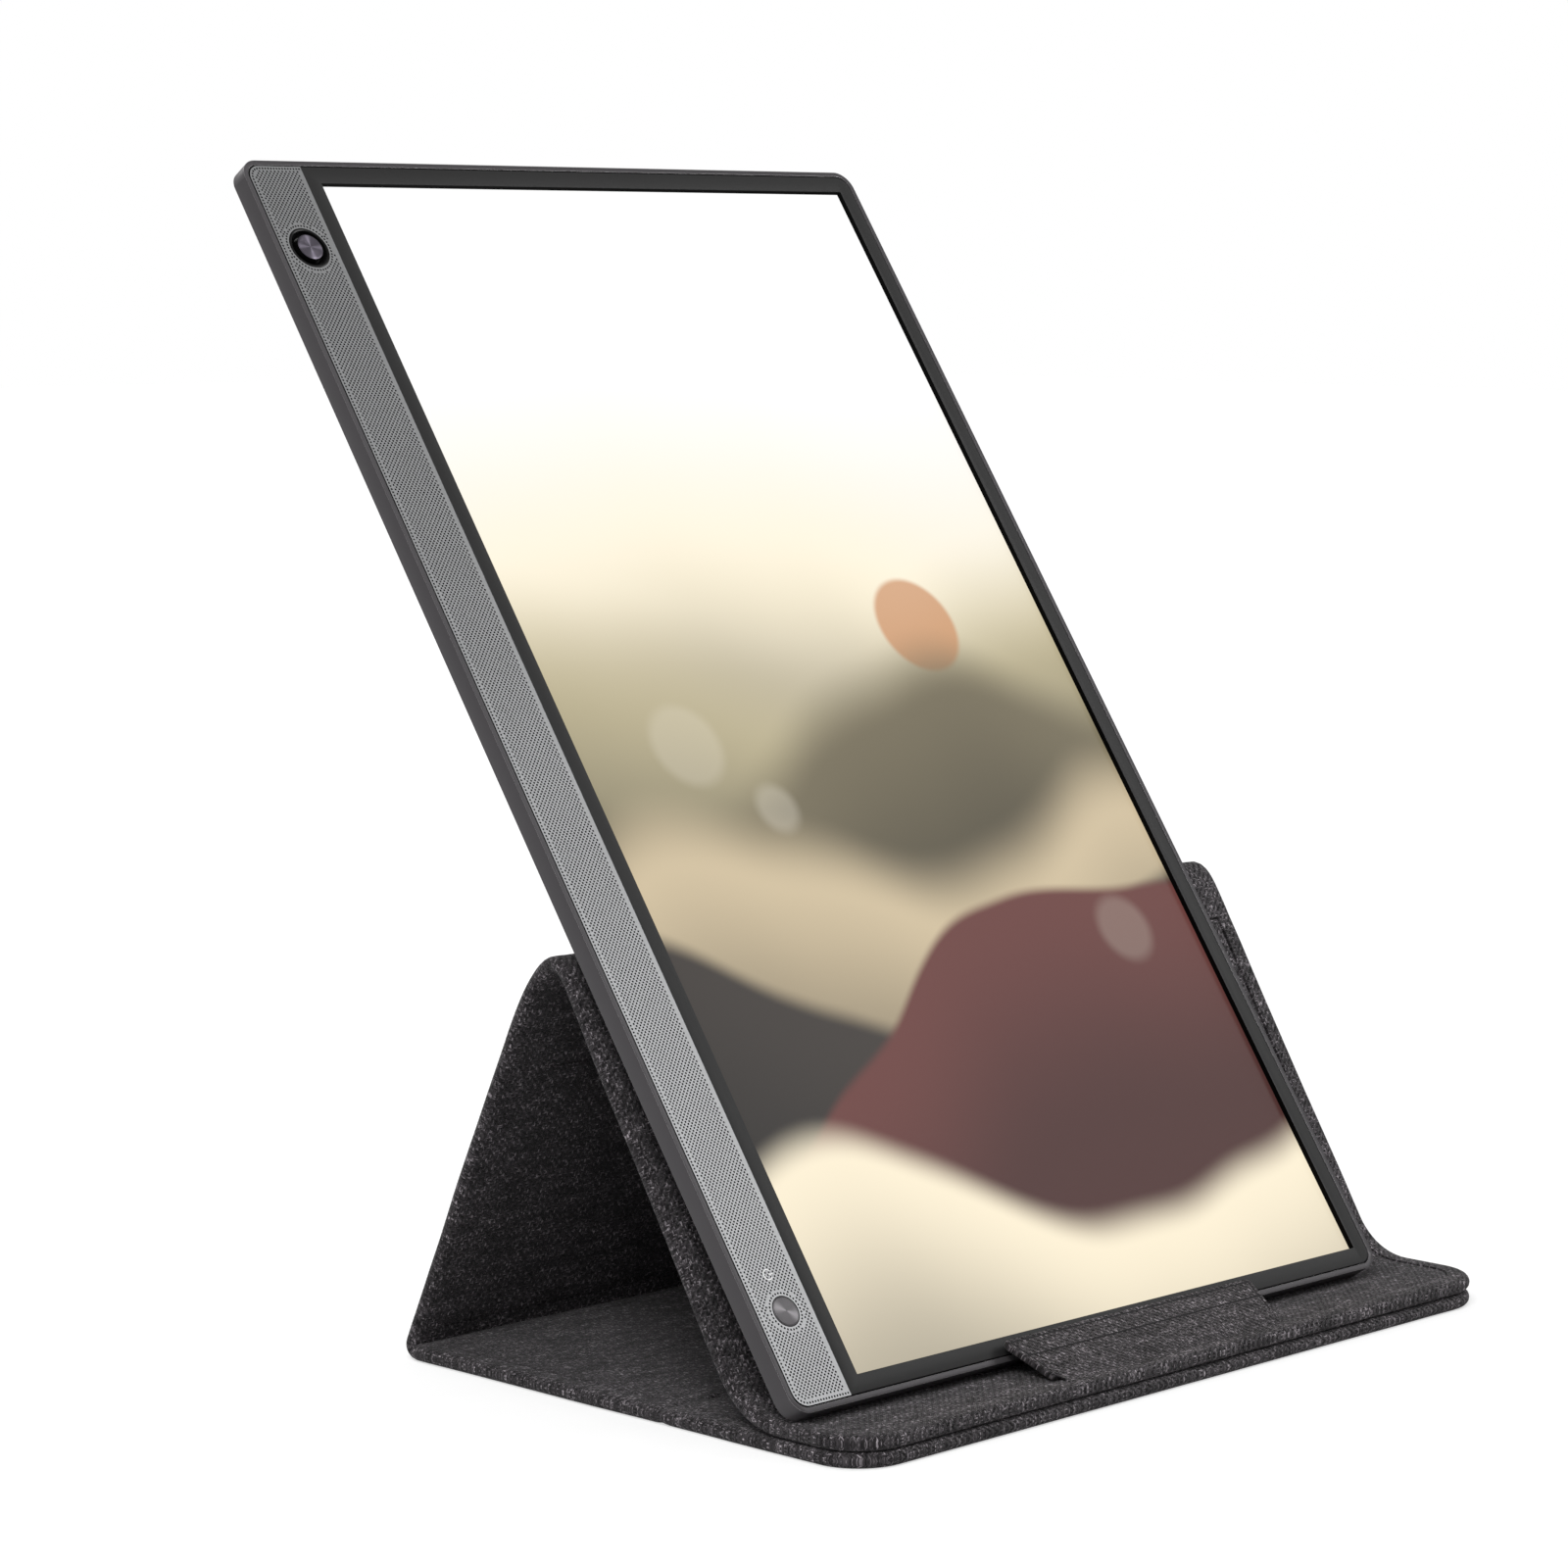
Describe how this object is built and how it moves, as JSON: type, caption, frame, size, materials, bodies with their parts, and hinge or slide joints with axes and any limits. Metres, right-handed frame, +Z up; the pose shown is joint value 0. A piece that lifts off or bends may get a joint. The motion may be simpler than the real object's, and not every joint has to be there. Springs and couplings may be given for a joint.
{
  "type": "portable monitor with folding cover",
  "caption": "Slim portable monitor with a side speaker strip, standing upright in a fabric cover folded into a triangular stand.",
  "frame": {"origin": "middle of the cover's footprint, on the table", "axes": "+X to the right seen from the front, +Y from the front to the back, +Z up; the screen faces -Y and leans back 34.4 degrees"},
  "size_m": [0.2514, 0.2264, 0.307],
  "materials": {
    "frame_metal": "satin brownish silver paint",
    "bezel_charcoal": "fine matt charcoal",
    "strip_metal": "satin grey-silver paint",
    "shell_plastic": "fine matt dark grey",
    "screen_glass": "matt anti-glare surface",
    "film_white": "matt white film",
    "guide_clear": "clear acrylic",
    "led_cream": "cream light bar",
    "tray_metal": "plain sheet",
    "board_green": "green circuit board",
    "flex_amber": "amber flat cable",
    "chip_black": "matt black",
    "screw_steel": "plain steel",
    "socket_steel": "plain steel",
    "ring_black": "satin black",
    "button_metal": "fine satin",
    "cover_fabric": "dark heathered woven fabric with pale flecks",
    "cover_lining": "fine dark lining cloth",
    "stiffener": "plain stiff sheet",
    "magnet_nickel": "nickel-plated disc"
  },
  "bodies": {
    "base": {"base_skin": "cover_fabric", "base_board_rear": "stiffener", "base_board_front": "stiffener", "base_lining": "cover_lining", "base_magnets": "magnet_nickel", "rear_fold_web": "cover_fabric"},
    "rear": {"rear_skin": "cover_fabric", "rear_board": "stiffener", "rear_lining": "cover_lining", "apex_fold_web": "cover_fabric"},
    "lean": {"lean_skin": "cover_fabric", "lean_board": "stiffener", "lean_lining": "cover_lining", "front_fold_web": "cover_fabric"},
    "ledge": {"ledge_skin": "cover_fabric", "ledge_board": "stiffener", "ledge_lining": "cover_lining", "ledge_magnets": "magnet_nickel"},
    "tab": {"stop_tab": "cover_fabric", "tab_stiffener": "stiffener"},
    "monitor": {"mid_frame": "frame_metal", "front_bezel": "bezel_charcoal", "speaker_strip": "strip_metal", "rear_shell": "shell_plastic", "lcd_cell": "screen_glass", "diffuser_film": "film_white", "light_guide": "guide_clear", "led_bar": "led_cream", "reflector_sheet": "film_white", "backlight_tray": "tray_metal", "timing_board": "board_green", "panel_flex": "flex_amber", "main_board": "board_green", "board_chips": "chip_black", "board_screws": "screw_steel", "io_board": "board_green", "usb_c_socket": "socket_steel", "power_board": "board_green", "tact_switches": "chip_black", "speaker_upper": "chip_black", "speaker_lower": "chip_black", "menu_ring": "ring_black"},
    "menu_key": {"menu_button": "button_metal"},
    "power_key": {"power_button": "button_metal"}
  },
  "joints": [
    {"name": "rear_fold", "type": "hinge", "parent": "base", "child": "rear", "pos_m": [0, 0.0779, 0.0042], "axis": [1, 0, 0], "range_deg": [0, 45]},
    {"name": "apex_fold", "type": "hinge", "parent": "rear", "child": "lean", "pos_m": [0, 0.0184, 0.10726], "axis": [1, 0, 0], "range_deg": [-90, 0], "deforming": ["apex_fold_web"]},
    {"name": "front_bend", "type": "hinge", "parent": "lean", "child": "ledge", "pos_m": [0, -0.0411, 0.0042], "axis": [1, 0, 0], "range_deg": [0, 45], "deforming": ["front_fold_web"]},
    {"name": "monitor_lift", "type": "slide", "parent": "lean", "child": "monitor", "axis": [0, 0.565, 0.8251], "range_m": [0, 0.06]},
    {"name": "tab_fold", "type": "hinge", "parent": "ledge", "child": "tab", "pos_m": [0, -0.0748, 0.0094], "axis": [1, 0, 0], "range_deg": [0, 130]},
    {"name": "menu_press", "type": "slide", "parent": "monitor", "child": "menu_key", "axis": [0, 0.8251, -0.565], "range_m": [0, 0.0004], "stiffness_N_per_m": 1500},
    {"name": "power_press", "type": "slide", "parent": "monitor", "child": "power_key", "axis": [0, 0.8251, -0.565], "range_m": [0, 0.0004], "stiffness_N_per_m": 1500}
  ],
  "couplings": [
    {"joint": "apex_fold", "follows": "rear_fold", "ratio": -2},
    {"joint": "front_bend", "follows": "rear_fold", "ratio": 1}
  ]
}
